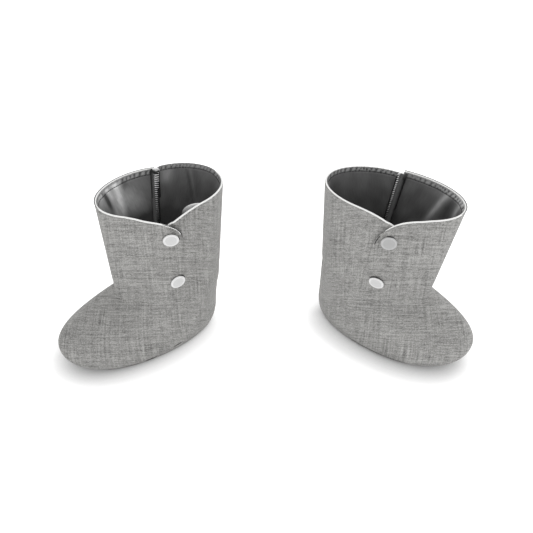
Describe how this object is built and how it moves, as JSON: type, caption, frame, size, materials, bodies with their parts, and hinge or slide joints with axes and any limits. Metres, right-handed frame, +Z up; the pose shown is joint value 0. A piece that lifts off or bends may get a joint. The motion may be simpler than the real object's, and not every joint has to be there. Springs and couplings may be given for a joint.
{
  "type": "pair of boot covers",
  "caption": "Ankle-high cloth boot covers standing filled out, each with a lined leg, a wrap-over snap closure, a rounded foot and a flat sole.",
  "frame": {"origin": "on the floor, at the centre of the pair's footprint box", "axes": "+Z up; +X from the left cover to the right cover, as seen from the front; the snap closures face -Y"},
  "size_m": [0.3473, 0.1239, 0.1368],
  "materials": {
    "outer_cloth": "grey melange plain weave, matte, with fine slubs",
    "satin_lining": "dark grey satin with a soft sheen",
    "edge_piping": "off-white corded edge, matte",
    "serged_seam": "mid grey seam allowance with light overlock stitches",
    "sole_cloth": "grey plain weave, matte, flat",
    "snap_plastic": "smooth off-white moulded plastic, slightly glossy"
  },
  "bodies": {
    "root": {"left_leg_front": "outer_cloth", "left_leg_back": "outer_cloth", "left_leg_front_lining": "satin_lining", "left_leg_back_lining": "satin_lining", "left_foot": "outer_cloth", "left_foot_lining": "satin_lining", "left_sole": "sole_cloth", "left_insole": "satin_lining", "left_front_piping": "edge_piping", "left_back_piping": "edge_piping", "left_seam_strip": "serged_seam", "left_inner_tab": "outer_cloth", "left_upper_snap_cap": "snap_plastic", "left_upper_snap_back": "snap_plastic", "left_lower_snap_cap": "snap_plastic", "left_lower_snap_back": "snap_plastic", "right_leg_front": "outer_cloth", "right_leg_back": "outer_cloth", "right_leg_front_lining": "satin_lining", "right_leg_back_lining": "satin_lining", "right_foot": "outer_cloth", "right_foot_lining": "satin_lining", "right_sole": "sole_cloth", "right_insole": "satin_lining", "right_front_piping": "edge_piping", "right_back_piping": "edge_piping", "right_seam_strip": "serged_seam", "right_inner_tab": "outer_cloth", "right_upper_snap_cap": "snap_plastic", "right_upper_snap_back": "snap_plastic", "right_lower_snap_cap": "snap_plastic", "right_lower_snap_back": "snap_plastic"}
  },
  "joints": []
}
